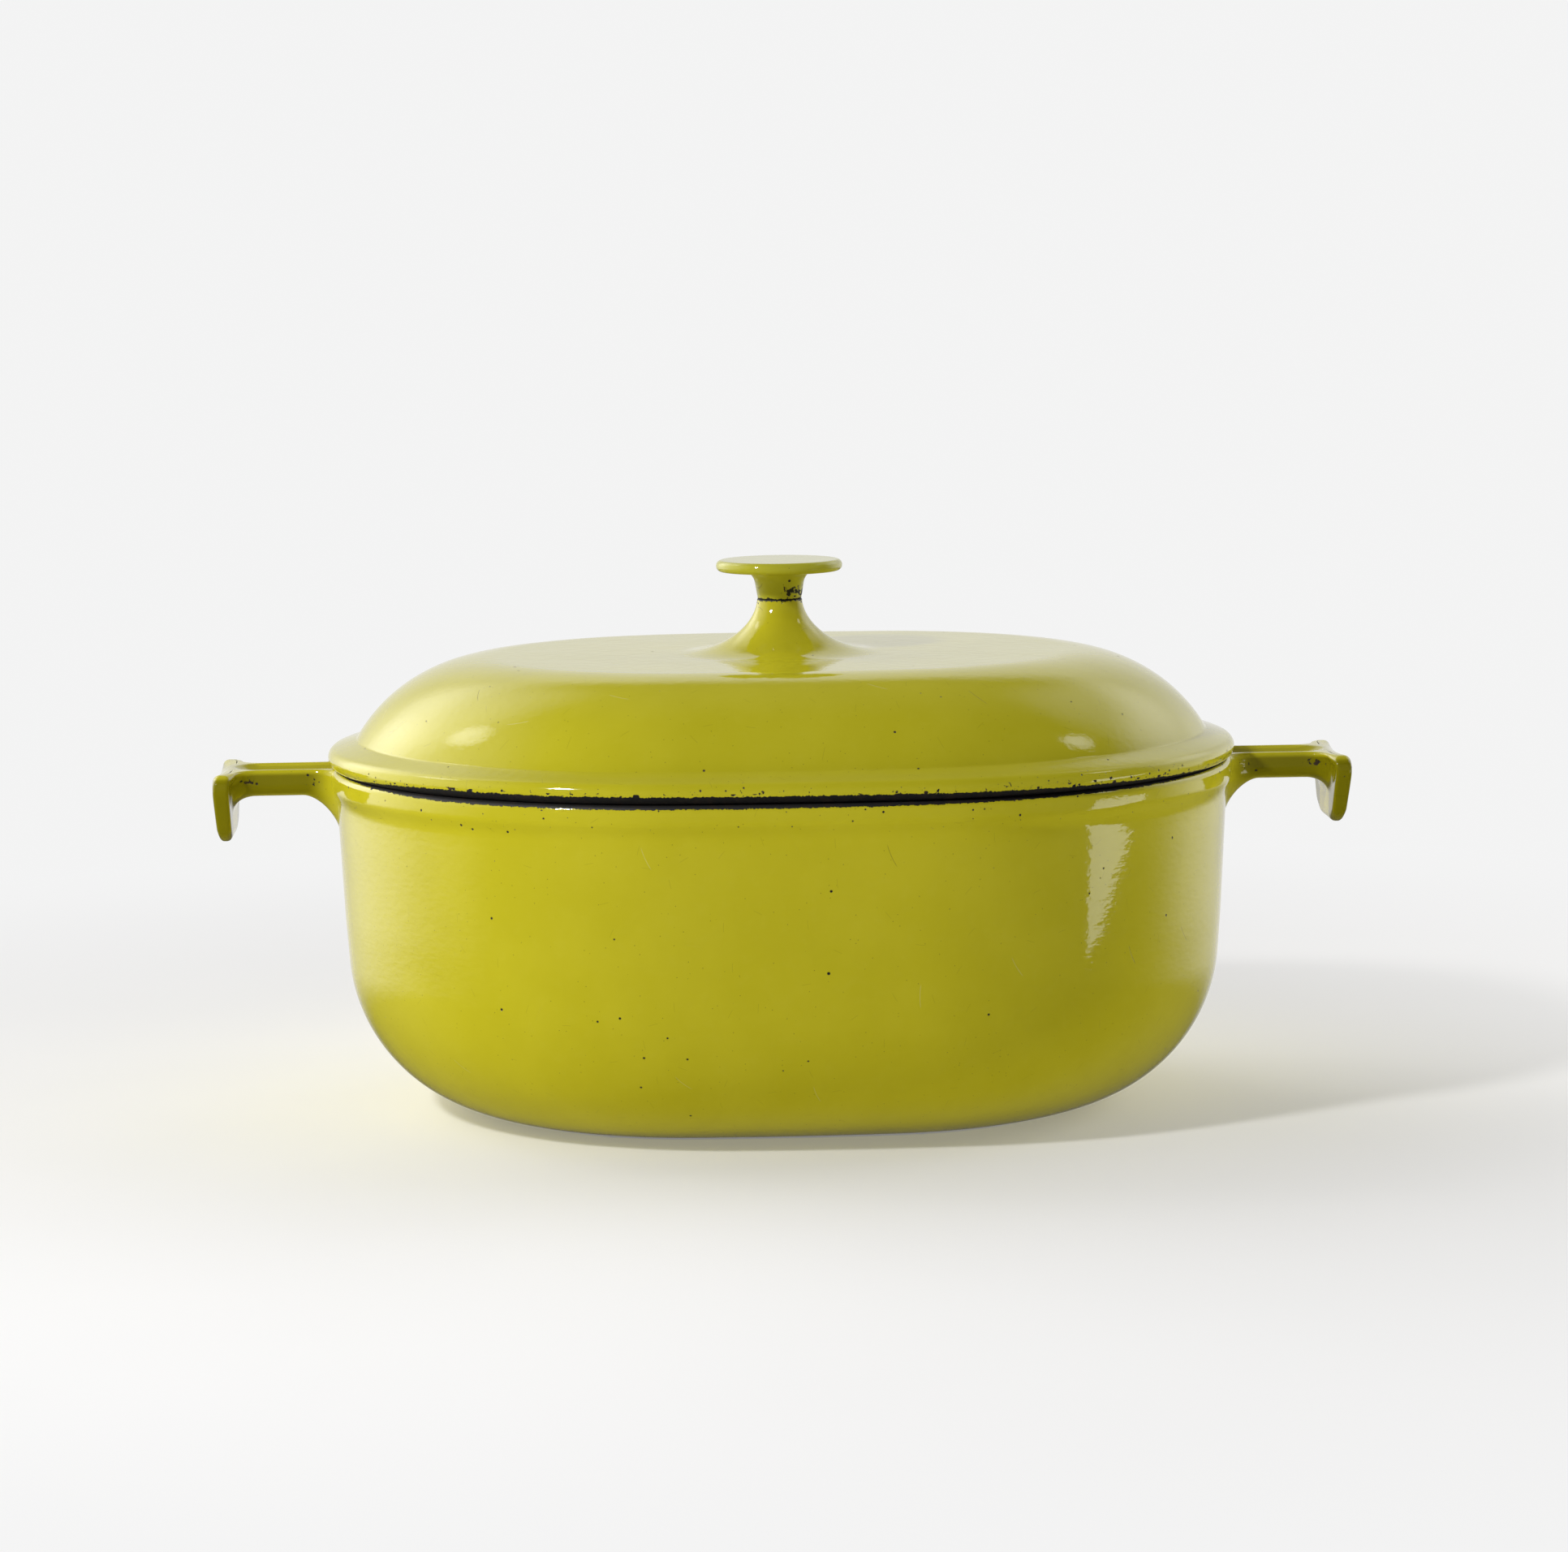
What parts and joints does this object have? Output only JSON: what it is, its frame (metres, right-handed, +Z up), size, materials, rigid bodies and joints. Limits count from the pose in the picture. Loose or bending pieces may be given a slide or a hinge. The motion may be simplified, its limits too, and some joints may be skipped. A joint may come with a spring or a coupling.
{
  "type": "covered casserole dish",
  "caption": "Oval enamelled cast-iron casserole with two hooked end handles and a lift-off domed lid with a trumpet pedestal and a screwed-on disc knob.",
  "frame": {"origin": "centre of the pot's flat base, on the surface it stands on", "axes": "+X along the pot's length, from handle to handle, +Y across it, +Z up, the way the lid lifts off"},
  "size_m": [0.3806, 0.25, 0.1839],
  "materials": {
    "pot_enamel": "glossy fired yellow-green enamel over cast iron",
    "lid_enamel": "glossy fired yellow-green enamel over cast iron",
    "knob_enamel": "glossy fired yellow-green enamel over cast iron",
    "screw_steel": "plated steel, dulled by cooking",
    "washer_steel": "plated steel, dulled by cooking",
    "spring_steel": "dark spring steel"
  },
  "bodies": {
    "pot": {"casserole_pot": "pot_enamel"},
    "lid": {"lid": "lid_enamel", "knob": "knob_enamel", "knob_screw": "screw_steel", "screw_washer": "washer_steel", "lock_washer": "spring_steel"}
  },
  "joints": [
    {"name": "lid_lift", "type": "slide", "parent": "pot", "child": "lid", "axis": [0, 0, 1], "range_m": [0, 0.2]}
  ]
}
